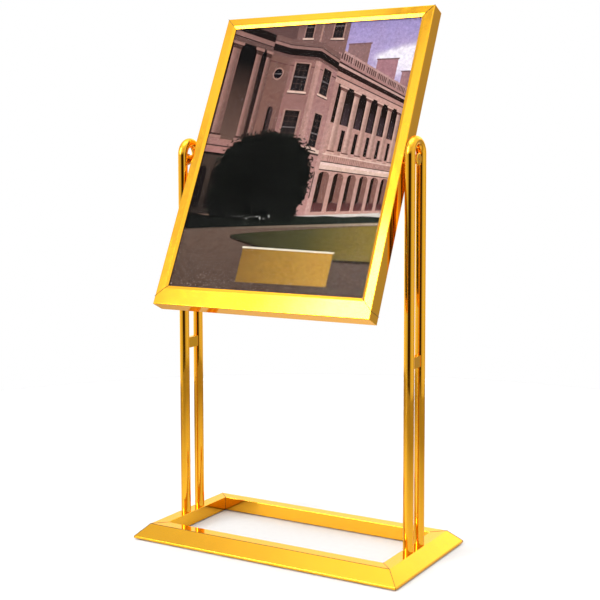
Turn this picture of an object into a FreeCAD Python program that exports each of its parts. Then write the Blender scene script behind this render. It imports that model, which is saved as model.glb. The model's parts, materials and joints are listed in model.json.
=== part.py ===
import FreeCAD, Part
import math
import os
import re
import Sketcher

# Tilting poster stand. Millimetres and degrees, +Z up, +Y to the back, origin on the floor under the
# middle of the base. The poster panel hangs between two hairpin uprights on a pivot at its mid-height and
# leans back.

SIZES = {
    # base ring: four mitred hollow members with a sloping outer face
    "base_depth": 384,
    "base_height": 34,
    "slope_width": 30,
    "flat_width": 32,
    "lip_height": 5,
    "base_wall": 2,
    "base_edge_radius": 1.2,
    "base_key_arm": 100,
    "base_key_thickness": 5,
    "foot_gap": 3,
    "foot_radius": 13,
    "foot_inset": 95,
    "foot_recess_radius": 5,
    "foot_screw_head": 1.6,
    "foot_screw_radius": 2,
    "foot_screw_grip": 6,
    # hairpin uprights
    "tube_radius": 12.5,
    "tube_wall": 1.5,
    "leg_spacing": 61,
    "side_gap": 9,
    "hairpin_height": 978,
    "plug_height": 32,
    "plate_overhang": 18,
    "leg_plate_thickness": 5,
    "leg_bolt_radius": 4,
    "leg_bolt_grip": 26,
    "leg_bolt_head_radius": 6.5,
    "leg_bolt_head": 8,
    "leg_washer_radius": 9,
    "leg_washer_thickness": 1.6,
    "access_radius": 10,
    "tie_height": 447,
    "tie_thickness": 14,
    "tie_plate_height": 28,
    "block_edge_radius": 0.8,
    # pivots
    "pivot_drop": 55,
    "swivel_thickness": 8,
    "swivel_height": 22,
    "bolt_radius": 4,
    "running_clearance": 0.06,
    "hole_clearance": 0.3,
    "friction_washer_radius": 14,
    "friction_washer_thickness": 1.5,
    "bush_radius": 12,
    "knob_washer_radius": 12,
    "knob_washer_thickness": 1,
    "knob_gap": 3,
    "knob_thickness": 5,
    "knob_chamfer": 1.4,
    "knob_seat": 2.2,
    "knob_notch_radius": 0.9,
    "socket_radius": 2.6,
    "socket_depth": 1.8,
    "insert_thickness": 12,
    "bolt_tip_gap": 1,
    "insert_height": 60,
    "insert_depth": 30,
    # poster panel
    "panel_width": 600,
    "panel_height": 805,
    "panel_depth": 42,
    "tilt": 25.4,
    "rail_width": 30,
    "bottom_rail_width": 50,
    "flange_reach": 12,
    "flange_thickness": 4,
    "bevel_width": 8,
    "bevel_drop": 3,
    "panel_wall": 2,
    "panel_edge_radius": 2,
    "panel_key_arm": 60,
    "panel_key_screw": 45,
    "panel_key_depth": 12,
    "key_clearance": 0.3,
    "key_screw_radius": 2,
    "key_screw_grip": 9,
    "screw_head_radius": 3.8,
    "screw_head_height": 1.8,
    "pack_clearance": 1,
    "cover_thickness": 2,
    "poster_thickness": 1,
    "board_thickness": 3,
    "tray_wall": 1.2,
    "tray_sink": 0.2,
    # turn buttons on the back of the panel
    "button_height": 230,
    "button_reach": 22,
    "button_half_width": 6,
    "button_corner": 4.8,
    "button_thickness": 2,
    "button_gap": 0.2,
    "button_screw_radius": 2,
}

# Places worked out from the sizes, as formulas for the sheet.
BASE_TOP = "(foot_gap + base_height)"
MEMBER = "(slope_width + flat_width)"
SLOPE = "((base_height - lip_height) / slope_width)"
HALF_WIDTH = "(panel_width / 2)"
LEG_X = f"({HALF_WIDTH} + side_gap + tube_radius)"
HALF_BASE_WIDTH = f"({LEG_X} + flat_width / 2 + slope_width)"
HALF_BASE_DEPTH = "(base_depth / 2)"
PIVOT_Z = f"({BASE_TOP} + hairpin_height - pivot_drop)"
HALF_HEIGHT = "(panel_height / 2)"
HALF_DEPTH = "(panel_depth / 2)"
BOX_WIDTH = "(rail_width - flange_reach)"
SHIFT = "(bottom_rail_width - rail_width)"
PACK_X = f"({HALF_WIDTH} - {BOX_WIDTH} - pack_clearance)"
PACK_TOP = f"({HALF_HEIGHT} - {BOX_WIDTH} - pack_clearance)"
PACK_BOTTOM = f"({SHIFT} - {PACK_TOP})"
RUNNING_RADIUS = "(bolt_radius + running_clearance)"
SWIVEL_IN = f"({LEG_X} - swivel_thickness / 2)"
SWIVEL_OUT = f"({LEG_X} + swivel_thickness / 2)"
KNOB_IN = f"({SWIVEL_OUT} + knob_washer_thickness)"
KNOB_RADIUS = "(leg_spacing / 2 - tube_radius - knob_gap)"
BUTTON_X = f"({HALF_WIDTH} - {BOX_WIDTH} / 2)"
BUTTON_UNDER = f"({HALF_DEPTH} + button_gap)"
BUTTON_TOP = f"({BUTTON_UNDER} + button_thickness + button_gap)"

SIDES = {"left": -1, "right": 1}
CORNERS = {"front_left": (-1, -1), "front_right": (1, -1), "back_left": (-1, 1), "back_right": (1, 1)}
PANEL_CORNERS = {"top_left": (-1, 1), "top_right": (1, 1), "bottom_left": (-1, -1), "bottom_right": (1, -1)}
NOTCHES = 24
SOCKET_SIDES = 6
START_RADIUS = 10.0
CLOSE = 1e-3

doc = FreeCAD.newDocument("PosterStand")
sheet = doc.addObject("Spreadsheet::Sheet", "Sizes")
for row, (size_name, size) in enumerate(SIZES.items(), start=1):
    sheet.set(f"A{row}", size_name)
    sheet.set(f"B{row}", str(size))
    sheet.setAlias(f"B{row}", size_name)
doc.recompute()

nodes = []


def value(size_name):
    """The number in a cell of the sheet."""
    return float(sheet.get(size_name))


def bind(formula):
    """Point each size named in a formula at its cell."""
    return re.sub(r"[a-z_]+", lambda found: f"Sizes.{found[0]}" if found[0] in SIZES else found[0], formula)


def signed(sign, formula):
    """A formula on the left (-1) or the right (+1)."""
    return f"({sign} * {formula})"


def new_body(name, several=False):
    """A body whose label names its node; several allows separate solids in it."""
    body = doc.addObject("PartDesign::Body", name)
    body.Label = name
    body.AllowCompound = several
    nodes.append(body)
    return body


def place(body, x="0", y="0", z="0"):
    """Set a body's position from formulas."""
    for axis, formula in zip("xyz", (x, y, z)):
        body.setExpression(f"Placement.Base.{axis}", bind(formula))


def lean(body):
    """Hang a body modelled about the pivot, front to -Y, on the leaning panel."""
    turned = FreeCAD.Rotation(FreeCAD.Vector(-1, 0, 0), value("tilt"))
    body.Placement = FreeCAD.Placement(FreeCAD.Vector(), turned)
    body.setExpression("Placement.Rotation.Angle", bind("tilt * 1 deg"))
    place(body, z=PIVOT_Z)


def new_sketch(body, plane):
    """An empty sketch on one of the body's own origin planes."""
    sketch = body.newObject("Sketcher::SketchObject", f"{body.Name}_sketch")
    planes = {feature.Role: feature for feature in body.Origin.OriginFeatures}
    sketch.AttachmentSupport = (planes[plane], "")
    sketch.MapMode = "FlatFace"
    return sketch


def pin_point(sketch, geometry, point, x, y):
    """Hold a point of a sketch by its distances from the origin, given as formulas."""
    start = sketch.getPoint(geometry, point)
    for kind, now, formula in (("DistanceX", start.x, x), ("DistanceY", start.y, y)):
        held = sketch.addConstraint(Sketcher.Constraint(kind, -1, 1, geometry, point, now))
        sketch.setExpression(f"Constraints[{held}]", bind(formula))


def draw_polygon(sketch, corners):
    """A closed outline through corners given as pairs of formulas."""
    count = len(corners)
    turns = [2 * math.pi * number / count for number in range(count)]
    starts = [FreeCAD.Vector(math.cos(turn), math.sin(turn)) * START_RADIUS for turn in turns]
    lines = []
    for number in range(count):
        line = Part.LineSegment(starts[number], starts[(number + 1) % count])
        lines.append(sketch.addGeometry(line, False))
    for number, (x, y) in enumerate(corners):
        pin_point(sketch, lines[number], 1, x, y)
        following = lines[(number + 1) % count]
        sketch.addConstraint(Sketcher.Constraint("Coincident", lines[number], 2, following, 1))


def draw_rectangle(sketch, x_low, x_high, y_low, y_high):
    """A rectangle between formulas."""
    draw_polygon(sketch, [(x_low, y_low), (x_high, y_low), (x_high, y_high), (x_low, y_high)])


def draw_circle(sketch, x, y, radius):
    """A circle whose centre and radius are formulas."""
    circle = Part.Circle(FreeCAD.Vector(START_RADIUS, START_RADIUS), FreeCAD.Vector(0, 0, 1), START_RADIUS)
    geometry = sketch.addGeometry(circle, False)
    pin_point(sketch, geometry, 3, x, y)
    held = sketch.addConstraint(Sketcher.Constraint("Radius", geometry, START_RADIUS))
    sketch.setExpression(f"Constraints[{held}]", bind(radius))


def extrude(body, kind, sketch, length, side="Symmetric", backwards=False):
    """Pad or Pocket a sketch by a formula's length."""
    feature = body.newObject(f"PartDesign::{kind}", f"{body.Name}_{kind.lower()}")
    feature.Profile = sketch
    feature.SideType = side
    feature.Reversed = backwards
    feature.setExpression("Length", bind(length))
    sketch.Visibility = False
    return feature


def drill(body, plane, centres, radius, length, side="Symmetric", backwards=False):
    """Cut round holes with centres given as pairs of formulas."""
    sketch = new_sketch(body, plane)
    for x, y in centres:
        draw_circle(sketch, x, y, radius)
    return extrude(body, "Pocket", sketch, length, side, backwards)


def grow_discs(body, centres, radius, low, high):
    """Add upright discs between two heights."""
    sketch = new_sketch(body, "XY_Plane")
    sketch.setExpression("AttachmentOffset.Base.z", bind(low))
    for x, y in centres:
        draw_circle(sketch, x, y, radius)
    return extrude(body, "Pad", sketch, f"({high}) - ({low})", "One side")


def turn(body, outline, axis):
    """Revolve an outline, drawn on the XZ plane, about its H_Axis or V_Axis."""
    sketch = new_sketch(body, "XZ_Plane")
    draw_polygon(sketch, outline)
    feature = body.newObject("PartDesign::Revolution", f"{body.Name}_turned")
    feature.Profile = sketch
    feature.ReferenceAxis = (sketch, [axis])
    feature.Angle = 360
    sketch.Visibility = False
    return feature


def round_edges(body, radius, chosen):
    """Round the edges of a body that a test picks."""
    doc.recompute()
    base = body.Tip
    names = [f"Edge{number}" for number, edge in enumerate(base.Shape.Edges, start=1) if chosen(edge)]
    feature = body.newObject("PartDesign::Fillet", f"{body.Name}_fillet")
    feature.Base = (base, names)
    feature.setExpression("Radius", bind(radius))


def same(first, second):
    """Whether two lengths agree."""
    return abs(first - second) < CLOSE


def cut_corner(sketch, corner, signs, along_first, reach):
    """Draw the triangle that a 45 degree mitre takes off a member's end.

    corner is the mitre's outer end, signs point from the ring's middle to it, and along_first says whether
    the member runs along the sketch's first axis.
    """
    (x, y), (sign_x, sign_y) = corner, signs
    outer = (f"{x} + {signed(sign_x, reach)}", f"{y} + {signed(sign_y, reach)}")
    inner = (f"{x} - {signed(sign_x, reach)}", f"{y} - {signed(sign_y, reach)}")
    third = (outer[0], inner[1]) if along_first else (inner[0], outer[1])
    draw_polygon(sketch, [outer, inner, third])


def through_frame(outline, place_point):
    """An outline of (inward, depth) pairs put where a member lies."""
    return [place_point(inward, depth) for inward, depth in outline]


# ---------------------------------------------------------------- base


def base_outline():
    """Section of a base member: (distance inward from the lip, height above its underside)."""
    return [
        ("0", "0"),
        ("0", "lip_height"),
        ("slope_width", "base_height"),
        (MEMBER, "base_height"),
        (MEMBER, "0"),
    ]


def base_hollow():
    """The room inside that section, one wall in from every face."""
    slant = f"base_wall * sqrt(1 + {SLOPE} * {SLOPE})"
    inner_top = "(base_height - base_wall)"
    return [
        ("base_wall", "base_wall"),
        ("base_wall", f"lip_height + {SLOPE} * base_wall - {slant}"),
        (f"({inner_top} - lip_height + {slant}) / {SLOPE}", inner_top),
        (f"{MEMBER} - base_wall", inner_top),
        (f"{MEMBER} - base_wall", "base_wall"),
    ]


def make_base_member(name, along_x, sign):
    """One mitred member, along X at the front or back, or along Y at a side."""
    body = new_body(name)
    halves = (HALF_BASE_WIDTH, HALF_BASE_DEPTH)
    half_run, half_across = halves if along_x else reversed(halves)
    plane = "YZ_Plane" if along_x else "XZ_Plane"

    def put(inward, height):
        return signed(sign, f"({half_across} - ({inward}))"), f"foot_gap + {height}"

    section = new_sketch(body, plane)
    draw_polygon(section, through_frame(base_outline(), put))
    extrude(body, "Pad", section, f"2 * {half_run}")
    hollow = new_sketch(body, plane)
    draw_polygon(hollow, through_frame(base_hollow(), put))
    extrude(body, "Pocket", hollow, f"2 * ({half_run} - base_wall)")
    mitres = new_sketch(body, "XY_Plane")
    for end in (-1, 1):
        signs = (end, sign) if along_x else (sign, end)
        corner = (signed(signs[0], HALF_BASE_WIDTH), signed(signs[1], HALF_BASE_DEPTH))
        cut_corner(mitres, corner, signs, along_x, f"({MEMBER} + slope_width)")
    extrude(body, "Pocket", mitres, f"4 * {BASE_TOP}")
    return body


def round_base_member(body, along_x):
    """Soften the three long edges that show above the floor."""
    lip_top = value("foot_gap") + value("lip_height")
    top = value("foot_gap") + value("base_height")

    def shows(edge):
        box = edge.BoundBox
        across = box.YLength if along_x else box.XLength
        return across < CLOSE and box.ZLength < CLOSE and (same(box.ZMax, lip_top) or same(box.ZMax, top))

    round_edges(body, "base_edge_radius", shows)


def leg_spots(sides=(-1, 1)):
    """Leg centres in plan."""
    return [(signed(side, LEG_X), signed(end, "leg_spacing / 2")) for side in sides for end in (-1, 1)]


def foot_spot(sign_x, sign_y):
    """A foot's centre in plan, under the middle of the front or back member."""
    x = signed(sign_x, f"({HALF_BASE_WIDTH} - foot_inset)")
    return x, signed(sign_y, f"({HALF_BASE_DEPTH} - {MEMBER} / 2)")


def make_base():
    """The ring, its corner keys and its feet."""
    for name, sign in (("base_front", -1), ("base_back", 1)):
        member = make_base_member(name, True, sign)
        round_base_member(member, True)
        spots = [foot_spot(side, sign) for side in (-1, 1)]
        drill(member, "XY_Plane", spots, "foot_screw_radius", "2 * (foot_gap + 2 * base_wall)")
    for name, sign in SIDES.items():
        member = make_base_member(f"base_{name}", False, sign)
        round_base_member(member, False)
        bolt_hole = "(leg_bolt_radius + hole_clearance)"
        drill(member, "XY_Plane", leg_spots((sign,)), bolt_hole, f"4 * {BASE_TOP}")
        drill(member, "XY_Plane", leg_spots((sign,)), "access_radius", "2 * (foot_gap + 2 * base_wall)")
    for name, signs in CORNERS.items():
        make_base_key(f"base_key_{name}", signs)
        make_foot(f"foot_{name}", signs)
    make_foot_screws()


def make_base_key(name, signs):
    """An angle plate welded under the flat top across a mitre."""
    body = new_body(name)
    sketch = new_sketch(body, "XY_Plane")
    under_top = f"{BASE_TOP} - base_wall - base_key_thickness"
    sketch.setExpression("AttachmentOffset.Base.z", bind(under_top))
    near, far = "(slope_width + base_wall)", f"({MEMBER} - base_wall - key_clearance)"
    end = f"({near} + base_key_arm)"
    insets = [(near, near), (end, near), (end, far), (far, far), (far, end), (near, end)]
    across, along = (signed(sign, half) for sign, half in zip(signs, (HALF_BASE_WIDTH, HALF_BASE_DEPTH)))
    corners = [(f"{across} - {signed(signs[0], x)}", f"{along} - {signed(signs[1], y)}") for x, y in insets]
    draw_polygon(sketch, corners)
    extrude(body, "Pad", sketch, "base_key_thickness", "One side")


def make_foot(name, signs):
    """A rubber pad with a recess for its screw's head."""
    body = new_body(name)
    turn(body, [
        ("foot_screw_radius", "foot_screw_head"),
        ("foot_recess_radius", "foot_screw_head"),
        ("foot_recess_radius", "0"),
        ("foot_radius", "0"),
        ("foot_radius", "foot_gap"),
        ("foot_screw_radius", "foot_gap"),
    ], "V_Axis")
    x, y = foot_spot(*signs)
    place(body, x, y)


def make_foot_screws():
    """Screws up through the feet into the base."""
    body = new_body("foot_screws", several=True)
    spots = [foot_spot(*signs) for signs in CORNERS.values()]
    head_low = "(foot_screw_head / 2)"
    grow_discs(body, spots, "(foot_recess_radius - hole_clearance)", head_low, "foot_screw_head")
    grow_discs(body, spots, "foot_screw_radius", "foot_screw_head", "foot_screw_head + foot_screw_grip")


# ---------------------------------------------------------------- uprights


def make_hairpin(name, side):
    """A round tube bent into a hairpin, legs front and back."""
    body = new_body(name)
    bend_height = "(hairpin_height - tube_radius - leg_spacing / 2)"
    half = "leg_spacing / 2"
    path = new_sketch(body, "YZ_Plane")
    tall = 5 * START_RADIUS  # start shape only; the formulas below set the real height
    front_foot, front_top = FreeCAD.Vector(-START_RADIUS, 0), FreeCAD.Vector(-START_RADIUS, tall)
    back_foot, back_top = FreeCAD.Vector(START_RADIUS, 0), FreeCAD.Vector(START_RADIUS, tall)
    front = path.addGeometry(Part.LineSegment(front_foot, front_top))
    circle = Part.Circle(FreeCAD.Vector(0, tall), FreeCAD.Vector(0, 0, 1), START_RADIUS)
    bend = path.addGeometry(Part.ArcOfCircle(circle, 0, math.pi))
    back = path.addGeometry(Part.LineSegment(back_top, back_foot))
    pin_point(path, front, 1, f"-{half}", "0")
    pin_point(path, front, 2, f"-{half}", bend_height)
    pin_point(path, back, 1, half, bend_height)
    pin_point(path, back, 2, half, "0")
    path.addConstraint(Sketcher.Constraint("Coincident", bend, 1, back, 1))
    path.addConstraint(Sketcher.Constraint("Coincident", bend, 2, front, 2))
    held = path.addConstraint(Sketcher.Constraint("DistanceY", -1, 1, bend, 3, tall))
    path.setExpression(f"Constraints[{held}]", bind(bend_height))
    ring = new_sketch(body, "XY_Plane")
    draw_circle(ring, "0", f"-{half}", "tube_radius")
    draw_circle(ring, "0", f"-{half}", "tube_radius - tube_wall")
    doc.recompute()
    pipe = body.newObject("PartDesign::AdditivePipe", f"{name}_pipe")
    pipe.Profile = ring
    pipe.Spine = (path, ["Edge1", "Edge2", "Edge3"])
    path.Visibility = False
    ring.Visibility = False
    place(body, signed(side, LEG_X), "0", BASE_TOP)


def make_link(name, side, thickness, height, centre_height):
    """A block between the legs of a hairpin, hollowed at both ends to seat on the tubes."""
    body = new_body(name)
    plan = new_sketch(body, "XY_Plane")
    draw_rectangle(plan, f"-{thickness} / 2", f"{thickness} / 2", "-leg_spacing / 2", "leg_spacing / 2")
    extrude(body, "Pad", plan, height)
    legs = [("0", "-leg_spacing / 2"), ("0", "leg_spacing / 2")]
    drill(body, "XY_Plane", legs, "tube_radius", f"2 * {height}")
    half_thickness, half_height = value(thickness) / 2, value(height) / 2

    def outer_rim(edge):
        box = edge.BoundBox
        level = box.XLength < CLOSE and box.ZLength < CLOSE
        return level and same(abs(box.XMin), half_thickness) and same(abs(box.ZMin), half_height)

    round_edges(body, "block_edge_radius", outer_rim)
    place(body, signed(side, LEG_X), "0", centre_height)
    return body


def make_leg_fixings():
    """Plugs in the feet of the tubes, bolted down to a plate under the flat top."""
    under_top = f"({BASE_TOP} - base_wall)"
    under_plate = f"({under_top} - leg_plate_thickness)"
    under_washer = f"({under_plate} - leg_washer_thickness)"
    clear = "(leg_bolt_radius + hole_clearance)"
    for name, side in SIDES.items():
        plugs = new_body(f"leg_plugs_{name}", several=True)
        plug_top = f"({BASE_TOP} + plug_height)"
        grow_discs(plugs, leg_spots((side,)), "tube_radius - tube_wall", BASE_TOP, plug_top)
        drill(plugs, "XY_Plane", leg_spots((side,)), "leg_bolt_radius", f"4 * {plug_top}")
        plate = new_body(f"leg_plate_{name}")
        plan = new_sketch(plate, "XY_Plane")
        plan.setExpression("AttachmentOffset.Base.z", bind(under_plate))
        near = signed(side, f"({LEG_X} + flat_width / 2 - base_wall)")
        far = signed(side, f"({LEG_X} - flat_width / 2 + base_wall + key_clearance)")
        end = "(leg_spacing / 2 + plate_overhang)"
        draw_rectangle(plan, near, far, f"-{end}", end)
        extrude(plate, "Pad", plan, "leg_plate_thickness", "One side")
        drill(plate, "XY_Plane", leg_spots((side,)), clear, f"4 * {BASE_TOP}")
    washers = new_body("leg_washers", several=True)
    grow_discs(washers, leg_spots(), "leg_washer_radius", under_washer, under_plate)
    drill(washers, "XY_Plane", leg_spots(), clear, f"4 * {BASE_TOP}")
    bolts = new_body("leg_bolts", several=True)
    grow_discs(bolts, leg_spots(), "leg_bolt_head_radius", f"{under_washer} - leg_bolt_head", under_washer)
    grow_discs(bolts, leg_spots(), "leg_bolt_radius", under_washer, f"{BASE_TOP} + leg_bolt_grip")


def make_uprights():
    """Both hairpins with their tie plates and swivel blocks."""
    for name, side in SIDES.items():
        make_hairpin(f"hairpin_{name}", side)
        tie_centre = f"{BASE_TOP} + tie_height"
        make_link(f"tie_plate_{name}", side, "tie_thickness", "tie_plate_height", tie_centre)
        block = make_link(f"swivel_block_{name}", side, "swivel_thickness", "swivel_height", PIVOT_Z)
        drill(block, "YZ_Plane", [("0", "0")], RUNNING_RADIUS, "2 * swivel_thickness")
    make_leg_fixings()


# ---------------------------------------------------------------- pivots


def make_ring(name, side, low, high, outer):
    """A ring round the pivot bolt between two distances from the middle of the stand."""
    body = new_body(name)
    near, far = signed(side, low), signed(side, high)
    turn(body, [(near, RUNNING_RADIUS), (far, RUNNING_RADIUS), (far, outer), (near, outer)], "H_Axis")
    place(body, z=PIVOT_Z)


def make_knob(name, side):
    """A flat clamp knob with a notched rim and a hexagon socket, bored to take its bolt."""
    body = new_body(name)
    outside = "knob_thickness"
    outline = [
        ("0", "bolt_radius"),
        ("knob_seat", "bolt_radius"),
        ("knob_seat", "0"),
        (outside, "0"),
        (outside, f"{KNOB_RADIUS} - 2 * knob_chamfer"),
        (f"{outside} - knob_chamfer", KNOB_RADIUS),
        ("knob_chamfer / 2", KNOB_RADIUS),
        ("0", f"{KNOB_RADIUS} - knob_chamfer / 2"),
    ]
    turn(body, [(signed(side, f"({x})"), radius) for x, radius in outline], "H_Axis")
    doc.recompute()
    notch = drill(body, "YZ_Plane", [("0", KNOB_RADIUS)], "knob_notch_radius", "4 * knob_thickness")
    doc.recompute()
    rim = body.newObject("PartDesign::PolarPattern", f"{name}_rim")
    rim.Originals = [notch]
    axes = {feature.Role: feature for feature in body.Origin.OriginFeatures}
    rim.Axis = (axes["X_Axis"], [""])
    rim.Angle = 360
    rim.Occurrences = NOTCHES
    body.Tip = rim
    doc.recompute()
    socket = new_sketch(body, "YZ_Plane")
    corner_turns = [360 * number / SOCKET_SIDES for number in range(SOCKET_SIDES)]
    draw_polygon(socket, [(f"socket_radius * cos({turned} deg)", f"socket_radius * sin({turned} deg)")
                          for turned in corner_turns])
    socket.setExpression("AttachmentOffset.Base.z", bind(signed(side, "knob_thickness")))
    extrude(body, "Pocket", socket, "socket_depth", "One side", backwards=side < 0)
    place(body, signed(side, KNOB_IN), "0", PIVOT_Z)


def make_pivots():
    """Each side's washers, spacer bush, bolt, knob and threaded insert, all about one axis."""
    washer_out = f"({HALF_WIDTH} + friction_washer_thickness)"
    insert_out = f"({HALF_WIDTH} - panel_wall)"
    insert_in = f"({insert_out} - insert_thickness)"
    rings = {
        "friction_washer": (HALF_WIDTH, washer_out, "friction_washer_radius"),
        "pivot_bush": (washer_out, SWIVEL_IN, "bush_radius"),
        "knob_washer": (SWIVEL_OUT, KNOB_IN, "knob_washer_radius"),
    }
    for name, side in SIDES.items():
        for ring, (low, high, outer) in rings.items():
            make_ring(f"{ring}_{name}", side, low, high, outer)
        make_knob(f"clamp_knob_{name}", side)
        bolt = new_body(f"pivot_bolt_{name}")
        tip, head = signed(side, f"({insert_in} + bolt_tip_gap)"), signed(side, f"({KNOB_IN} + knob_seat)")
        turn(bolt, [(tip, "0"), (head, "0"), (head, "bolt_radius"), (tip, "bolt_radius")], "H_Axis")
        place(bolt, z=PIVOT_Z)
        insert = new_body(f"pivot_insert_{name}")
        face = new_sketch(insert, "XZ_Plane")
        x_ends = signed(side, insert_in), signed(side, insert_out)
        draw_rectangle(face, *x_ends, "-insert_height / 2", "insert_height / 2")
        extrude(insert, "Pad", face, "insert_depth")
        drill(insert, "YZ_Plane", [("0", "0")], RUNNING_RADIUS, "2 * panel_width")
        lean(insert)


# ---------------------------------------------------------------- panel


def panel_outline(width):
    """Section of a panel member: (inward from its outer edge, depth from the front face)."""
    box = f"({width} - flange_reach)"
    return [
        ("0", "0"),
        (f"{width} - bevel_width", "0"),
        (width, "bevel_drop"),
        (width, "flange_thickness"),
        (box, "flange_thickness"),
        (box, "panel_depth"),
        ("0", "panel_depth"),
    ]


def panel_hollow(width):
    """The room inside the box part of that section."""
    far = f"({width} - flange_reach - panel_wall)"
    deep = "(panel_depth - panel_wall)"
    return [("panel_wall", "panel_wall"), (far, "panel_wall"), (far, deep), ("panel_wall", deep)]


def mitre_corner(signs):
    """Outer end of the 45 degree mitre at a corner of the panel."""
    z = HALF_HEIGHT if signs[1] > 0 else f"({HALF_HEIGHT} - {SHIFT})"
    return signed(signs[0], HALF_WIDTH), signed(signs[1], z)


def make_panel_member(name, along_x, sign, width):
    """One rail (along X) or stile (along Z) of the panel's frame, with its mitres cut."""
    body = new_body(name)
    plane, run = ("YZ_Plane", "panel_width") if along_x else ("XY_Plane", "panel_height")
    half = HALF_HEIGHT if along_x else HALF_WIDTH

    def put(inward, depth):
        edge = signed(sign, f"({half} - ({inward}))")
        back = f"{depth} - {HALF_DEPTH}"
        return (back, edge) if along_x else (edge, back)

    section = new_sketch(body, plane)
    draw_polygon(section, through_frame(panel_outline(width), put))
    extrude(body, "Pad", section, run)
    hollow = new_sketch(body, plane)
    draw_polygon(hollow, through_frame(panel_hollow(width), put))
    extrude(body, "Pocket", hollow, f"{run} - 2 * panel_wall")
    mitres = new_sketch(body, "XZ_Plane")
    for end in (-1, 1):
        signs = (end, sign) if along_x else (sign, end)
        cut_corner(mitres, mitre_corner(signs), signs, along_x, "(rail_width + bottom_rail_width)")
    extrude(body, "Pocket", mitres, "2 * panel_depth")
    return body


def round_panel_member(body):
    """Round the outer edges of the front and the back."""
    half_width, half_height = value("panel_width") / 2, value("panel_height") / 2
    half_depth = value("panel_depth") / 2

    def outer(edge):
        box = edge.BoundBox
        level = box.YLength < CLOSE and same(abs(box.YMin), half_depth)
        at_side = box.XLength < CLOSE and same(abs(box.XMin), half_width)
        at_end = box.ZLength < CLOSE and same(abs(box.ZMin), half_height)
        return level and (at_side or at_end)

    round_edges(body, "panel_edge_radius", outer)


def key_spots(signs):
    """Screw places of one corner key: on its arm along X, then on its arm along Z."""
    corner_x, corner_z = mitre_corner(signs)
    middle = f"({BOX_WIDTH} / 2)"
    out = "panel_key_screw"
    on_rail = (f"{corner_x} - {signed(signs[0], out)}", f"{corner_z} - {signed(signs[1], middle)}")
    on_stile = (f"{corner_x} - {signed(signs[0], middle)}", f"{corner_z} - {signed(signs[1], out)}")
    return on_rail, on_stile


def screw_holes(body, spots, radius):
    """Holes through the back wall of a panel member."""
    sketch = new_sketch(body, "XZ_Plane")
    sketch.setExpression("AttachmentOffset.Base.z", bind(f"-{HALF_DEPTH}"))
    for x, z in spots:
        draw_circle(sketch, x, z, radius)
    extrude(body, "Pocket", sketch, "4 * panel_wall")


def button_spots(sides=(-1, 1)):
    """Places of the turn buttons' screws."""
    return [(signed(side, BUTTON_X), signed(end, "button_height")) for side in sides for end in (-1, 1)]


def make_frame():
    """The four mitred members, their corner keys and the screws at the back."""
    wall_hole = "(key_screw_radius + hole_clearance)"
    rails = {"top_rail": (1, "rail_width"), "bottom_rail": (-1, "bottom_rail_width")}
    for name, (sign, width) in rails.items():
        rail = make_panel_member(name, True, sign, width)
        round_panel_member(rail)
        screw_holes(rail, [key_spots((side, sign))[0] for side in (-1, 1)], wall_hole)
        lean(rail)
    for name, side in SIDES.items():
        stile = make_panel_member(f"{name}_stile", False, side, "rail_width")
        round_panel_member(stile)
        screw_holes(stile, [key_spots((side, end))[1] for end in (-1, 1)], wall_hole)
        screw_holes(stile, button_spots((side,)), "button_screw_radius")
        drill_outer_wall(stile, side)
        lean(stile)
    for name, signs in PANEL_CORNERS.items():
        make_panel_key(f"panel_key_{name}", signs)
    screws = new_body("panel_key_screws", several=True)
    spots = [spot for signs in PANEL_CORNERS.values() for spot in key_spots(signs)]
    grow_screws(screws, spots, "key_screw_radius", HALF_DEPTH, "key_screw_grip")
    lean(screws)


def drill_outer_wall(stile, side):
    """The pivot bolt's hole, in the stile's outer wall only."""
    sketch = new_sketch(stile, "YZ_Plane")
    sketch.setExpression("AttachmentOffset.Base.z", bind(signed(side, HALF_WIDTH)))
    draw_circle(sketch, "0", "0", RUNNING_RADIUS)
    extrude(stile, "Pocket", sketch, "4 * panel_wall")


def make_panel_key(name, signs):
    """An angle inside two meeting members, against their outer walls and the back wall."""
    body = new_body(name)
    corner_x, corner_z = mitre_corner(signs)
    near, far = "panel_wall", f"({BOX_WIDTH} - panel_wall - key_clearance)"
    insets = [(near, near), ("panel_key_arm", near), ("panel_key_arm", far),
              (far, far), (far, "panel_key_arm"), (near, "panel_key_arm")]
    sketch = new_sketch(body, "XZ_Plane")
    back = f"-({HALF_DEPTH} - panel_wall)"
    sketch.setExpression("AttachmentOffset.Base.z", bind(back))
    draw_polygon(sketch, [(f"{corner_x} - {signed(signs[0], x)}", f"{corner_z} - {signed(signs[1], z)}")
                          for x, z in insets])
    extrude(body, "Pad", sketch, "panel_key_depth", "One side")
    screw_holes_in_key = new_sketch(body, "XZ_Plane")
    screw_holes_in_key.setExpression("AttachmentOffset.Base.z", bind(back))
    for x, z in key_spots(signs):
        draw_circle(screw_holes_in_key, x, z, "key_screw_radius")
    extrude(body, "Pocket", screw_holes_in_key, "2 * key_screw_grip")
    lean(body)


def grow_screws(body, spots, radius, under_head, grip):
    """Pan-head screws that stand on the panel's back, pointing forward."""
    head = new_sketch(body, "XZ_Plane")
    head.setExpression("AttachmentOffset.Base.z", bind(f"-({under_head})"))
    for x, z in spots:
        draw_circle(head, x, z, "screw_head_radius")
    extrude(body, "Pad", head, "screw_head_height", "One side", backwards=True)
    shank = new_sketch(body, "XZ_Plane")
    shank.setExpression("AttachmentOffset.Base.z", bind(f"-({under_head})"))
    for x, z in spots:
        draw_circle(shank, x, z, radius)
    extrude(body, "Pad", shank, grip, "One side")


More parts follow.
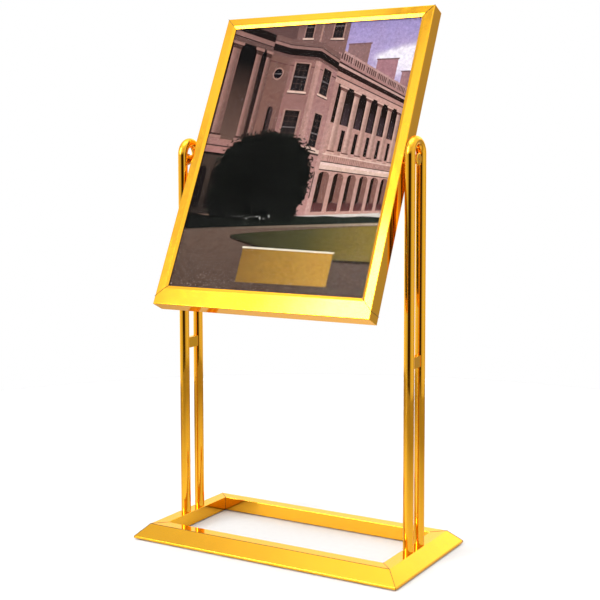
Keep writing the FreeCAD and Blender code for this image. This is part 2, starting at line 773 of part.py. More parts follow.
def make_sheet(name, front, thickness):
    """A flat layer of the poster pack; front is its depth from the panel's face."""
    body = new_body(name)
    face = new_sketch(body, "YZ_Plane")
    y_front = f"({front} - {HALF_DEPTH})"
    draw_rectangle(face, y_front, f"{y_front} + {thickness}", PACK_BOTTOM, PACK_TOP)
    extrude(body, "Pad", face, f"2 * {PACK_X}")
    lean(body)
    return body


def make_pack():
    """Clear cover, poster and board, with the back tray that presses them forward."""
    cover_back = "(flange_thickness + cover_thickness)"
    poster_back = f"({cover_back} + poster_thickness)"
    board_back = f"({poster_back} + board_thickness)"
    make_sheet("clear_cover", "flange_thickness", "cover_thickness")
    make_sheet("poster_sheet", cover_back, "poster_thickness")
    make_sheet("backing_board", poster_back, "board_thickness")
    depth = f"(panel_depth - tray_sink - {board_back})"
    tray = make_sheet("back_tray", board_back, depth)
    room = new_sketch(tray, "YZ_Plane")
    y_open, y_back = f"{cover_back} - {HALF_DEPTH}", f"{HALF_DEPTH} - tray_sink - tray_wall"
    draw_rectangle(room, y_open, y_back, f"{PACK_BOTTOM} + tray_wall", f"{PACK_TOP} - tray_wall")
    extrude(tray, "Pocket", room, f"2 * ({PACK_X} - tray_wall)")


def make_button(name, side, screw):
    """A round-ended bar that points inward from its screw, over the tray's edge."""
    body = new_body(name)
    screw_x, screw_z = screw
    face = new_sketch(body, "XZ_Plane")
    face.setExpression("AttachmentOffset.Base.z", bind(f"-{BUTTON_UNDER}"))
    tail = f"{screw_x} + {signed(side, 'button_half_width')}"
    tip = f"{screw_x} - {signed(side, 'button_reach')}"
    low, high = f"{screw_z} - button_half_width", f"{screw_z} + button_half_width"
    draw_rectangle(face, tail, tip, low, high)
    extrude(body, "Pad", face, "button_thickness", "One side", backwards=True)
    round_edges(body, "button_corner", lambda edge: same(edge.BoundBox.YLength, edge.Length))
    drill(body, "XZ_Plane", [screw], "button_screw_radius + running_clearance", "2 * panel_depth")
    lean(body)


def make_buttons():
    """Turn buttons that hold the back tray in, each on its own screw."""
    for level, end in (("upper", 1), ("lower", -1)):
        for name, side in SIDES.items():
            screw = signed(side, BUTTON_X), signed(end, "button_height")
            make_button(f"turn_button_{level}_{name}", side, screw)
    screws = new_body("turn_button_screws", several=True)
    grow_screws(screws, button_spots(), "button_screw_radius", BUTTON_TOP, "4 * panel_wall")
    lean(screws)


def check_and_export():
    """Stop on a failed object, then write one STEP file for each node."""
    doc.recompute()
    for item in doc.Objects:
        if {"Invalid", "Error"} & set(item.State):
            raise RuntimeError(f"{item.Label} failed: {item.State}")
    os.makedirs("parts", exist_ok=True)
    for body in nodes:
        if body.Shape.isNull() or not body.Shape.isValid() or not body.Shape.Solids:
            raise RuntimeError(f"{body.Label} has no valid solid")
        body.Shape.exportStep(f"parts/{body.Label}.step")


make_base()
make_uprights()
make_pivots()
make_frame()
make_pack()
make_buttons()
check_and_export()
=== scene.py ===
import json
import math
import random

import bmesh
import bpy
import numpy as np
from mathutils import Matrix, Vector


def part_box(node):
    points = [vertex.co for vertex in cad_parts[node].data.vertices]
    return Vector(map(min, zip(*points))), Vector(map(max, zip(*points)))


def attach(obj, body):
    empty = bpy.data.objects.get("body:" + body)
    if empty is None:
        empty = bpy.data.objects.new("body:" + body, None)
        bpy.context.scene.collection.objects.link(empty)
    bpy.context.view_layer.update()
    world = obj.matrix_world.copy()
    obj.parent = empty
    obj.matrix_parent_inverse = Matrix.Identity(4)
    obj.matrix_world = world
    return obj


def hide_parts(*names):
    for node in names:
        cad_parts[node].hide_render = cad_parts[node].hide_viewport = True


# A gold poster stand on a pale studio floor. Metres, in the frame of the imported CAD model.

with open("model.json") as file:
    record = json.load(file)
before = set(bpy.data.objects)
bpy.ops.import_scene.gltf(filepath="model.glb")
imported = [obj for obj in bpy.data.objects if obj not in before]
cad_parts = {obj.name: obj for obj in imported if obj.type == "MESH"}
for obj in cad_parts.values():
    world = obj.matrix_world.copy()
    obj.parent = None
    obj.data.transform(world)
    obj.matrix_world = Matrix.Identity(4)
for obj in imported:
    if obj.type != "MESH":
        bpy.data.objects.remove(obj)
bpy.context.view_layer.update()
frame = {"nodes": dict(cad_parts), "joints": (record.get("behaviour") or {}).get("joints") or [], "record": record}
nodes = frame["nodes"]

CAMERA_PLACE = (1.4938, -2.5249, 0.9618)
CAMERA_YAW, CAMERA_DOWN, CAMERA_ROLL = 30.45, 4.49, -0.11  # degrees
CAMERA_LENS, CAMERA_SHIFT_Y = 71.4, -0.08
FLOOR_RADIUS = 2.3


# ---------------------------------------------------------------- shader helpers


def add_node(tree, kind, values=None, **settings):
    """A shader node with its settings and inputs; an input is a plain value or another node's output."""
    made = tree.nodes.new("ShaderNode" + kind)
    for name, setting in settings.items():
        setattr(made, name, setting)
    for socket, value in (values or {}).items():
        if isinstance(value, bpy.types.NodeSocket):
            tree.links.new(value, made.inputs[socket])
        else:
            made.inputs[socket].default_value = value
    return made


def math_node(tree, operation, *terms, clamp=False):
    values = dict(enumerate(terms))
    return add_node(tree, "Math", values, operation=operation, use_clamp=clamp).outputs[0]


def noise(tree, place, scale, detail=3.0, roughness=0.5):
    values = {"Vector": place, "Scale": scale, "Detail": detail, "Roughness": roughness}
    return add_node(tree, "TexNoise", values).outputs["Fac"]


def spread(tree, value, low, high, out_low, out_high):
    """value taken from one range to another, held at both ends."""
    values = {"Value": value, "From Min": low, "From Max": high, "To Min": out_low, "To Max": out_high}
    return add_node(tree, "MapRange", values).outputs["Result"]


def mix_colour(tree, share, first, second, blend="MIX"):
    made = add_node(tree, "Mix", data_type="RGBA", blend_type=blend)
    for socket, value in ((made.inputs[0], share), (made.inputs[6], first), (made.inputs[7], second)):
        if isinstance(value, bpy.types.NodeSocket):
            tree.links.new(value, socket)
        else:
            socket.default_value = value if isinstance(value, float) else (*value[:3], 1.0)
    return made.outputs[2]


def new_material(name, **fixed):
    """A material with a Principled shader whose uniform values are set on its own sockets."""
    material = bpy.data.materials.new(name)
    material.use_nodes = True
    tree = material.node_tree
    shader = tree.nodes["Principled BSDF"]
    for socket, value in fixed.items():
        shader.inputs[socket.replace("_", " ")].default_value = value
    place = add_node(tree, "TexCoord").outputs["Object"]
    return material, tree, shader, place


def stretched(tree, place, scale, tilt=0.0):
    """Coordinates turned by tilt about X and scaled along each axis."""
    turned = add_node(tree, "Mapping", {"Vector": place, "Rotation": (tilt, 0, 0)}).outputs[0]
    return add_node(tree, "Mapping", {"Vector": turned, "Scale": scale}).outputs[0]


def bump(tree, height, distance, strength=1.0, normal=None):
    values = {"Height": height, "Distance": distance, "Strength": strength}
    if normal is not None:
        values["Normal"] = normal
    return add_node(tree, "Bump", values).outputs[0]


def edge_mask(tree, radius, reach):
    """1 on the last bit of metal beside an edge and 0 on the flat."""
    rounded = add_node(tree, "Bevel", {"Radius": radius}, samples=4).outputs[0]
    true_normal = add_node(tree, "NewGeometry").outputs["Normal"]
    same = add_node(tree, "VectorMath", {0: rounded, 1: true_normal}, operation="DOT_PRODUCT")
    return spread(tree, same.outputs["Value"], 1.0 - reach, 0.999, 1.0, 0.0), rounded


def connect(tree, shader, **sockets):
    for socket, value in sockets.items():
        tree.links.new(value, shader.inputs[socket.replace("_", " ")])


# ---------------------------------------------------------------- materials


GOLD_LIGHT, GOLD_DARK = (0.87, 0.425, 0.011), (0.83, 0.388, 0.009)
GOLD_STREAK, GOLD_EDGE_WEAR_AND_HIGHLIGHT = (0.91, 0.47, 0.026), (1.0, 0.58, 0.10)
GOLD_GRAZING = (1.0, 0.70, 0.18, 1.0)


def gold(name, grain, tilt=0.0):
    """Mirror-polished metal with a titanium-gold coating; its edges are painted paler, partly as wear and partly
    as a painted highlight. grain is the scale of its polishing lines.
    """
    material, tree, shader, place = new_material(
        name, Metallic=1.0, Specular_Tint=GOLD_GRAZING, Coat_Weight=0.45, Coat_Roughness=0.04)
    cloudy = noise(tree, place, 5.0, 3.0)
    smudges = noise(tree, place, 26.0, 6.0, 0.62)
    lines = noise(tree, stretched(tree, place, grain, tilt), 1.0, 4.0, 0.6)
    worn, rounded = edge_mask(tree, 0.0007, 0.05)
    coating = mix_colour(tree, spread(tree, cloudy, 0.3, 0.7, 0.0, 1.0), GOLD_LIGHT, GOLD_DARK)
    streaked = mix_colour(tree, spread(tree, lines, 0.35, 0.75, 0.0, 0.22), coating, GOLD_STREAK)
    # Paler gold along the rounded edges: partly wear of the coating, partly a painted highlight.
    colour = mix_colour(tree, math_node(tree, "MULTIPLY", worn, 0.55), streaked, GOLD_EDGE_WEAR_AND_HIGHLIGHT)
    polish = spread(tree, smudges, 0.42, 0.72, 0.045, 0.14)
    polish = math_node(tree, "ADD", polish, spread(tree, lines, 0.4, 0.8, 0.0, 0.05))
    ripple = bump(tree, noise(tree, place, 11.0, 1.0), 0.00022, 0.5, rounded)
    scratches = bump(tree, lines, 0.000006, 0.35, ripple)
    connect(tree, shader, Base_Color=colour, Roughness=polish, Normal=scratches)
    return material


def zinc(name):
    """Bright zinc plating, with its spangle, stains and paler edges."""
    material, tree, shader, place = new_material(name, Metallic=1.0)
    spangle = noise(tree, place, 420.0, 3.0)
    stain = noise(tree, place, 60.0, 4.0)
    worn, rounded = edge_mask(tree, 0.0004, 0.05)
    body = mix_colour(tree, spread(tree, stain, 0.3, 0.7, 0.0, 1.0), (0.60, 0.61, 0.62), (0.50, 0.52, 0.55))
    colour = mix_colour(tree, math_node(tree, "MULTIPLY", worn, 0.6), body, (0.78, 0.78, 0.77))
    connect(tree, shader, Base_Color=colour, Roughness=spread(tree, spangle, 0.3, 0.7, 0.22, 0.4),
            Normal=bump(tree, spangle, 0.00002, 0.5, rounded))
    return material


def dull(name, light, dark, rough, grain, depth, edge=None):
    """Plastics, rubber, board and paint: a mottled colour, uneven gloss, a fine surface and paler edges."""
    material, tree, shader, place = new_material(name)
    fine = noise(tree, place, grain, 4.0, 0.6)
    broad = noise(tree, place, grain / 40.0, 4.0)
    colour = mix_colour(tree, spread(tree, broad, 0.3, 0.7, 0.0, 1.0), light, dark)
    colour = mix_colour(tree, spread(tree, fine, 0.35, 0.75, 0.0, 0.35), colour, dark)
    normal = None
    if edge:
        worn, normal = edge_mask(tree, 0.0008, 0.06)
        colour = mix_colour(tree, math_node(tree, "MULTIPLY", worn, 0.5), colour, edge)
    scuffed = math_node(tree, "ADD", spread(tree, fine, 0.3, 0.7, rough - 0.07, rough + 0.07),
                        spread(tree, broad, 0.5, 0.7, 0.0, 0.1))
    connect(tree, shader, Base_Color=colour, Roughness=scuffed, Normal=bump(tree, fine, depth, 0.6, normal))
    return material


def clear_sheet(name):
    """Thin clear plastic over the print, with faint wiping marks."""
    material, tree, shader, place = new_material(
        name, Coat_Weight=0.12, Coat_Roughness=0.02, Coat_IOR=1.5)
    marks = noise(tree, stretched(tree, place, (14, 60, 60), 0.5), 1.0, 5.0, 0.65)
    haze = noise(tree, place, 7.0, 4.0)
    colour = mix_colour(tree, haze, (0.010, 0.012, 0.014), (0.005, 0.006, 0.008))
    connect(tree, shader, Base_Color=colour, Roughness=spread(tree, marks, 0.4, 0.7, 0.03, 0.12),
            Alpha=spread(tree, marks, 0.35, 0.75, 0.008, 0.035))
    return material


def printed(name):
    """Semi-gloss printed paper; the picture's tones are in the mesh, and the print's grain and painted glints are
    here.
    """
    material, tree, shader, place = new_material(name, Specular_IOR_Level=0.0)
    tone = add_node(tree, "VertexColor", layer_name="tone").outputs["Color"]
    speckle = noise(tree, place, 900.0, 2.0, 0.7)
    mottle = noise(tree, place, 130.0, 5.0, 0.65)
    patches = noise(tree, place, 22.0, 4.0, 0.6)
    ink, warmth, glint = (0.004, 0.003, 0.003), (1.0, 0.9, 0.82), (1.5, 1.45, 1.4)
    darker = mix_colour(tree, spread(tree, mottle, 0.35, 0.75, 0.0, 0.38), tone, ink)
    warmer = mix_colour(tree, spread(tree, patches, 0.4, 0.75, 0.0, 0.5), darker, warmth, "MULTIPLY")
    # Bright speckles lift the colour above the print's own tones: painted glints of the paper's sheen.
    colour = mix_colour(tree, spread(tree, speckle, 0.45, 0.8, 0.0, 0.6), warmer, glint, "MULTIPLY")
    connect(tree, shader, Base_Color=colour, Roughness=spread(tree, mottle, 0.3, 0.7, 0.55, 0.75),
            Normal=bump(tree, speckle, 0.000008, 0.4))
    return material


def panel_axes():
    """The middle of the poster sheet and its up and front directions, read from its CAD solid."""
    points = np.array([vertex.co for vertex in nodes["poster_sheet"].data.vertices], float)
    middle = (points.min(0) + points.max(0)) / 2
    across = np.cov((points - middle)[:, 1:].T)
    up_yz = np.linalg.eigh(across)[1][:, -1]
    up_yz = up_yz * np.sign(up_yz[1])
    up = Vector((0, up_yz[0], up_yz[1]))
    front = Vector((0, -up.z, up.y))
    return Vector(middle), up, front


PANEL_MIDDLE, PANEL_UP, PANEL_FRONT = panel_axes()
PANEL_TILT = math.atan2(PANEL_UP.y, PANEL_UP.z)


def sheet_size():
    """Half the thickness and the full height of the poster's CAD sheet."""
    points = [vertex.co - PANEL_MIDDLE for vertex in nodes["poster_sheet"].data.vertices]
    return max(p.dot(PANEL_FRONT) for p in points), 2 * max(p.dot(PANEL_UP) for p in points)


SHEET_HALF, SHEET_TALL = sheet_size()
FINE, LONG = 2600.0, 22.0  # polishing lines per metre across and along the grain

MATERIALS = {
    "gold_mirror": gold("gold_mirror", (FINE, FINE, LONG)),
    "gold_along_x": gold("gold_along_x", (LONG, FINE, FINE)),
    "gold_along_y": gold("gold_along_y", (FINE, LONG, FINE)),
    "gold_stile": gold("gold_stile", (FINE, FINE, LONG), PANEL_TILT),
    "zinc_steel": zinc("zinc_steel"),
    "rubber": dull("rubber", (0.030, 0.030, 0.031), (0.016, 0.016, 0.017), 0.72, 900.0, 0.00008,
                   (0.06, 0.06, 0.06)),
    "nylon": dull("nylon", (0.80, 0.78, 0.70), (0.70, 0.68, 0.60), 0.48, 700.0, 0.00003,
                  (0.88, 0.87, 0.82)),
    "clear_plastic": clear_sheet("clear_plastic"),
    "poster_print": printed("poster_print"),
    "board": dull("board", (0.83, 0.83, 0.80), (0.74, 0.74, 0.71), 0.62, 1200.0, 0.00004),
    "tray_paint": dull("tray_paint", (0.040, 0.040, 0.043), (0.026, 0.026, 0.029), 0.5, 1500.0, 0.00007,
                       (0.11, 0.11, 0.115)),
}
GRAIN = {
    "base_front": "gold_along_x", "base_back": "gold_along_x", "top_rail": "gold_along_x",
    "bottom_rail": "gold_along_x", "base_left": "gold_along_y", "base_right": "gold_along_y",
    "left_stile": "gold_stile", "right_stile": "gold_stile",
}


def dress_nodes():
    """Give every CAD node the material of its slot."""
    for part in frame["record"]["subparts"]:
        name = part["node"]
        material = MATERIALS[GRAIN.get(name, part["material_slot"])]
        mesh = nodes[name].data
        mesh.materials.clear()
        mesh.materials.append(material)


dress_nodes()


# ---------------------------------------------------------------- the poster's picture

# The picture is a generic classical building behind a lawn, drawn as flat shapes on the sheet. Places are
# shares of the part that shows: u from left to right and v from bottom to top. A higher layer lies nearer the
# front: sky 1, wing 2 to 13, corner block 14 to 25, portico 26 to 32, ground 33 to 36, and from 37 up the
# shrub and the caption.

SIGHT_WIDTH, SIGHT_HEIGHT = 0.540, 0.725
LAYER_STEP = 0.000012
LAYERS_DEEP = 0.0005  # room for all the layers, taken off the paper's front
PAPER_FRONT = SHEET_HALF - LAYERS_DEEP
MARGIN_U, MARGIN_V = 0.018, 0.0135  # how far the picture runs on under the frame
PRINT_LEVEL = 0.80  # printed tones against the studio's light


def tone(red, green, blue):
    """A colour given in display values, as linear light."""
    shares = [value / 255 for value in (red, green, blue)]
    return tuple(PRINT_LEVEL * (s / 12.92 if s < 0.04 else ((s + 0.055) / 1.055) ** 2.4) for s in shares)


STONE_LIT, TRIM, PALE = tone(186, 146, 134), tone(160, 124, 114), tone(212, 182, 168)
SHADE, DARK = tone(72, 56, 52), tone(24, 19, 18)
GLASS, BAR, PAPER = tone(34, 31, 33), tone(98, 90, 92), tone(206, 200, 192)


def clip(corners, tones):
    """A shape cut to the sheet, with its corner tones."""
    shape = [(*corner, *colour) for corner, colour in zip(corners, tones)]
    limits = ((0, -MARGIN_U, 1), (0, 1 + MARGIN_U, -1), (1, -MARGIN_V, 1), (1, 1 + MARGIN_V, -1))
    for axis, limit, sign in limits:
        kept = []
        for start, end in zip(shape, shape[1:] + shape[:1]):
            inside_start, inside_end = (sign * (point[axis] - limit) >= 0 for point in (start, end))
            if inside_start:
                kept.append(start)
            if inside_start != inside_end:
                share = (limit - start[axis]) / (end[axis] - start[axis])
                kept.append(tuple(a + share * (b - a) for a, b in zip(start, end)))
        shape = kept
    return shape


class Picture:
    """Flat shapes in layers on the front of the sheet."""

    def __init__(self):
        self.mesh = bmesh.new()
        self.tones = self.mesh.loops.layers.float_color.new("tone")

    def place(self, u, v, layer):
        across = Vector((1, 0, 0)) * (u - 0.5) * SIGHT_WIDTH
        height = PANEL_UP * ((v - 0.5) * SIGHT_HEIGHT)
        return PANEL_MIDDLE + across + height + PANEL_FRONT * (PAPER_FRONT + layer * LAYER_STEP)

    def shape(self, layer, corners, colour):
        """colour is one tone, or a list with one for each corner."""
        tones = colour if isinstance(colour, list) else [colour] * len(corners)
        cut = clip(corners, tones)
        if len(cut) < 3:
            return
        points = [self.mesh.verts.new(self.place(u, v, layer)) for u, v, *_ in cut]
        face = self.mesh.faces.new(points)
        face.normal_update()
        if face.normal.dot(PANEL_FRONT) < 0:
            face.normal_flip()
        for loop in face.loops:
            loop[self.tones] = (*cut[points.index(loop.vert)][2:], 1.0)

    def box(self, layer, u_low, u_high, v_low, v_high, low, high=None):
        """An upright rectangle, with a second tone at its top."""
        high = high or low
        corners = [(u_low, v_low), (u_high, v_low), (u_high, v_high), (u_low, v_high)]
        self.shape(layer, corners, [low, low, high, high])

    def strip(self, layer, lower, upper, colours):
        """A band between two lines of points, in one piece for each step."""
        for n in range(len(lower) - 1):
            corners = [lower[n], lower[n + 1], upper[n + 1], upper[n]]
            self.shape(layer, corners, [colours[n], colours[n + 1], colours[n + 1], colours[n]])

    def fan(self, layer, middle, rim, inside, outside):
        """A closed outline round a point, as triangles."""
        for start, end in zip(rim, rim[1:] + rim[:1]):
            self.shape(layer, [middle, start, end], [inside, outside, outside])


class Wall:
    """A wall in perspective, from (u, ground v, top v) at its left end to the same at its right end."""

    def __init__(self, picture, left, right):
        self.picture, self.left, self.right = picture, left, right

    def at(self, along, up):
        """The place on the sheet of a share of the wall's length and a share of its height."""
        depths = [1 / (end[2] - end[1]) for end in (self.left, self.right)]
        weights = ((1 - along) * depths[0], along * depths[1])
        u, low, high = (
            (weights[0] * a + weights[1] * b) / sum(weights) for a, b in zip(self.left, self.right))
        return u, low + (high - low) * up

    def block(self, layer, start, end, low, high, colour, top=None):
        """A patch between two shares of the wall's length and two of its height, with a tone at its top."""
        top = top or colour
        corners = [self.at(start, low), self.at(end, low), self.at(end, high), self.at(start, high)]
        self.picture.shape(layer, corners, [colour, colour, top, top])

    def window(self, layer, middle, width, low, high, rows=3, columns=3):
        """A sash window: a pale surround and sill, dark glass and thin bars."""
        half, tall = width / 2, high - low
        surround, sill = 1.25 * half, 1.4 * half
        self.block(layer, middle - surround, middle + surround, low - 0.03 * tall, high + 0.05 * tall, TRIM)
        self.block(layer + 1, middle - half, middle + half, low, high, GLASS, DARK)
        self.block(layer + 1, middle - sill, middle + sill, low - 0.09 * tall, low - 0.02 * tall, PALE)
        self.block(layer + 1, middle - sill, middle + sill, low - 0.13 * tall, low - 0.09 * tall, SHADE)
        for n in range(1, rows):
            height, thick = low + tall * n / rows, 0.012 * tall * (2 if n == rows // 2 else 1)
            bar = BAR if n == rows // 2 else SHADE
            self.block(layer + 2, middle - half, middle + half, height - thick, height + thick, bar)
        for n in range(1, columns):
            place = middle - half + width * n / columns
            self.block(layer + 2, place - 0.02 * width, place + 0.02 * width, low, high, SHADE)

    def column(self, layer, middle, width, low, high, lit, dim):
        """A round column: strips of light and shade, a base and a capital."""
        steps = (1.0, 0.86, 0.66, 0.5, 0.4, 0.46)
        for n, light in enumerate(steps):
            start = middle + width * (n / len(steps) - 0.5)
            colour = tuple(d + (b - d) * light for b, d in zip(lit, dim))
            self.block(layer, start, start + width / len(steps), low, high, colour)
        tall = high - low
        mouldings = (
            (0.75, low, low + 0.03 * tall, lit),
            (0.62, low + 0.03 * tall, low + 0.05 * tall, dim),
            (0.6, high - 0.075 * tall, high - 0.03 * tall, dim),
            (0.8, high - 0.03 * tall, high, lit))
        for reach, bottom, top, colour in mouldings:
            self.block(layer + 1, middle - reach * width, middle + reach * width, bottom, top, colour)

    def bands(self, layer, start, end, rows):
        """Mouldings: each row is the height that it starts at, the height that it ends at and its tone."""
        for low, high, colour in rows:
            self.block(layer, start, end, low, high, colour)

    def arch(self, layer, middle, width, low, high, dark, lit):
        """An arched opening: a dark reveal on its left and a lit inner wall on its right."""
        spring = high - 0.10 * (high - low)
        for n, (start, end, colour) in enumerate(((-0.5, 0.5, lit), (-0.5, -0.12, dark))):
            ends = middle + start * width, middle + end * width
            rise = [self.at(ends[0] + (ends[1] - ends[0]) * k / 6, spring) for k in range(7)]
            curve = []
            for k in range(7):
                share = start + (end - start) * k / 6
                top = spring + (high - spring) * math.sqrt(max(0.0, 1 - (2 * share) ** 2))
                curve.append(self.at(middle + share * width, top))
            self.block(layer + n, *ends, low, spring, colour)
            self.picture.strip(layer + n, rise, curve, [colour] * 7)


def paint_sky(picture):
    """A violet sky with soft clouds low on its right, as one grid with a tone at each corner."""
    rng = random.Random(4)
    low, high, white = tone(176, 162, 200), tone(150, 136, 186), tone(236, 230, 242)
    puffs = [(0.82 + 0.20 * rng.random(), 0.80 + 0.09 * rng.random(), 0.010 + 0.018 * rng.random())
             for _ in range(22)]

    def sky_tone(u, v):
        cloud = sum(math.exp(-((u - x) / 1.7 / size) ** 2 - ((v - y) / size) ** 2) for x, y, size in puffs)
        share = min(1.0, max(0.0, (v - 0.78) / 0.22))
        white_share = min(1.0, 0.8 * cloud)
        return tuple(a + (b - a) * share + (c - a) * white_share for a, b, c in zip(low, high, white))

    us, vs = np.linspace(0.45, 1 + MARGIN_U, 62), np.linspace(0.70, 1 + MARGIN_V, 40)
    for lower, upper in zip(vs, vs[1:]):
        for left, right in zip(us, us[1:]):
            corners = [(left, lower), (right, lower), (right, upper), (left, upper)]
            picture.shape(1, corners, [sky_tone(u, v) for u, v in corners])


def paint_wing(picture):
    """The long wing that runs away to the right: arcade, colonnade, cornice and balustrade."""
    wing = Wall(picture, (0.60, 0.272, 0.905), (1.03, 0.2895, 0.7222))
    chimneys = (
        (0.655, 0.77, 0.915, (135, 103, 102)),
        (0.82, 0.925, 0.85, (157, 114, 122)),
        (0.955, 1.03, 0.80, (150, 112, 116)))
    for u_low, u_high, v_high, colour in chimneys:
        picture.box(2, u_low, u_high, 0.65, v_high, tone(*colour))
        picture.box(3, u_low - 0.004, u_high + 0.004, v_high - 0.006, v_high, tone(118, 88, 92))
    wing.block(4, 0, 1, 0, 1, STONE_LIT, tone(168, 128, 122))
    columns = [0.14 + 0.143 * n for n in range(7)]
    wing.block(5, 0.08, 1, 0.56, 0.80, tone(34, 24, 20), DARK)
    for place in columns:
        wing.block(6, place + 0.040, place + 0.098, 0.56, 0.70, tone(64, 50, 54), tone(40, 32, 34))
        wing.block(6, place + 0.056, place + 0.100, 0.395, 0.53, DARK, tone(34, 26, 26))
        wing.block(7, place + 0.056, place + 0.063, 0.395, 0.53, TRIM)
        wing.arch(6, place - 0.005, 0.102, 0.02, 0.262, tone(34, 24, 20), tone(122, 86, 78))
        wing.block(8, place - 0.056, place + 0.046, 0.02, 0.072, tone(112, 68, 66), tone(88, 52, 52))
        wing.column(9, place, 0.056, 0.372, 0.797, tone(202, 164, 152), tone(104, 72, 66))
        for n in range(6):
            start = place - 0.052 + 0.017 * n
            wing.block(10, start, start + 0.005, 0.02, 0.072, tone(44, 28, 28))
        for n in range(7):
            start = place - 0.01 + 0.0204 * n
            wing.block(6, start, start + 0.008, 0.325, 0.361, tone(150, 112, 104))
    wing.bands(11, 0, 1, [
        (0.268, 0.275, SHADE), (0.275, 0.300, PALE),
        (0.300, 0.318, tone(224, 194, 184)), (0.318, 0.324, SHADE),
        (0.362, 0.371, tone(214, 182, 170)), (0.798, 0.830, tone(190, 150, 140)),
        (0.830, 0.838, SHADE), (0.838, 0.866, tone(172, 130, 122)),
        (0.866, 0.898, tone(38, 26, 24)), (0.898, 0.914, tone(186, 150, 142)),
        (0.914, 0.926, tone(52, 36, 34)), (0.926, 0.944, tone(160, 120, 116)),
        (0.944, 0.984, tone(82, 58, 56)), (0.984, 1.0, tone(176, 140, 136))])
    for n in range(42):
        start = 0.012 + 0.0235 * n
        wide = 0.018 if n % 6 == 0 else 0.009
        wing.block(12, start, start + wide, 0.944, 0.986 + (0.018 if n % 6 == 0 else 0), tone(170, 132, 128))
    wing.block(12, 0.0, 0.075, 0.0, 0.80, tone(192, 152, 144), tone(162, 122, 116))
    wing.arch(13, 0.028, 0.042, 0.10, 0.262, DARK, tone(70, 54, 50))


def paint_pavilion(picture):
    """The corner block: two walls with sash windows, a deep cornice and an attic."""
    side = Wall(picture, (0.515, 0.27, 0.925), (0.625, 0.272, 0.872))
    front = Wall(picture, (0.345, 0.27, 0.945), (0.515, 0.27, 0.925))
    bow = Wall(picture, (0.225, 0.27, 0.975), (0.345, 0.27, 0.945))
    attic = Wall(picture, (0.36, 0.90, 1.02), (0.64, 0.88, 1.02))
    parapet = [(-MARGIN_U, 0.90), (0.62, 0.90), (0.62, 1 + MARGIN_V), (-MARGIN_U, 1 + MARGIN_V)]
    picture.shape(14, parapet, tone(92, 68, 66))
    attic.block(15, 0, 1, 0, 1, tone(124, 92, 88), tone(112, 86, 84))
    for middle in (0.26, 0.82):
        attic.window(16, middle, 0.17, 0.42, 1.1, rows=4)
    attic.block(19, 0.50, 0.535, 0, 1, TRIM)
    walls = (
        (side, tone(178, 134, 128), tone(146, 108, 106)),
        (front, tone(158, 116, 112), tone(128, 93, 88)),
        (bow, tone(134, 98, 90), tone(108, 78, 70)))
    for wall, bottom, top in walls:
        wall.block(20, 0, 1, 0, 1, bottom, top)
        wall.bands(21, 0, 1, [
            (0.845, 0.852, tone(92, 62, 58)), (0.890, 0.908, tone(104, 76, 72)), (0.908, 0.948, DARK),
            (0.948, 0.964, tone(146, 110, 104)), (0.964, 0.970, SHADE), (0.970, 1.0, tone(112, 84, 80)),
            (0.360, 0.372, SHADE), (0.372, 0.395, PALE)])
    front.block(22, 0.0, 0.10, 0.396, 0.889, tone(116, 84, 78))
    front.block(22, 0.90, 1.0, 0.396, 0.889, tone(164, 126, 118))
    side.block(22, 0.0, 0.13, 0.396, 0.889, tone(176, 136, 128))
    front.window(23, 0.50, 0.44, 0.705, 0.865, rows=4)
    front.window(23, 0.52, 0.46, 0.430, 0.590, rows=5)
    side.window(23, 0.52, 0.38, 0.715, 0.870, rows=4, columns=2)
    side.window(23, 0.56, 0.36, 0.405, 0.600, rows=5, columns=2)
    side.arch(23, 0.62, 0.34, 0.10, 0.315, DARK, tone(96, 74, 68))
    bow.arch(23, 0.70, 0.26, 0.42, 0.600, DARK, tone(60, 46, 46))
    middle = bow.at(0.66, 0.787)
    turns = np.linspace(0, 2 * math.pi, 25)[:-1]
    for layer, size, colour in ((23, 0.029, TRIM), (24, 0.023, tone(20, 16, 20))):
        rim = [(middle[0] + size * math.cos(a), middle[1] + size * 0.85 * math.sin(a)) for a in turns]
        picture.fan(layer, middle, rim, colour, colour)
    picture.box(25, middle[0] - 0.021, middle[0] + 0.021, middle[1] - 0.002, middle[1] + 0.002, BAR)


def paint_portico(picture):
    """Tall columns before a shaded porch at the left."""
    porch = Wall(picture, (-0.03, 0.27, 1.045), (0.245, 0.27, 0.968))
    porch.block(26, 0, 1, 0, 1, tone(84, 64, 58), tone(60, 46, 42))
    porch.block(27, 0, 0.93, 0.385, 0.64, tone(98, 76, 68), tone(66, 50, 45))
    porch.block(27, 0, 0.93, 0.64, 0.80, tone(66, 50, 45), tone(16, 14, 14))
    porch.block(27, 0, 0.93, 0.80, 0.90, tone(12, 11, 11))
    porch.block(28, 0.80, 0.87, 0.385, 0.86, tone(48, 34, 32), DARK)
    porch.bands(29, 0, 1, [
        (0.901, 0.925, tone(98, 74, 70)), (0.925, 0.930, DARK), (0.930, 0.955, tone(136, 102, 96)),
        (0.955, 1.0, tone(26, 20, 19))])
    for middle, width in ((0.21, 0.17), (0.71, 0.125), (0.94, 0.10)):
        porch.column(29, middle, width, 0.386, 0.90, tone(152, 114, 106), tone(66, 46, 42))
    porch.bands(31, 0, 1, [
        (0.300, 0.312, DARK), (0.312, 0.345, tone(160, 114, 108)), (0.345, 0.352, SHADE),
        (0.352, 0.385, tone(150, 110, 104))])
    porch.block(31, 0, 1, 0, 0.30, tone(40, 34, 31), tone(66, 54, 48))
    for middle in (0.16, 0.42):
        porch.arch(32, middle, 0.16, 0.03, 0.24, DARK, tone(24, 20, 20))


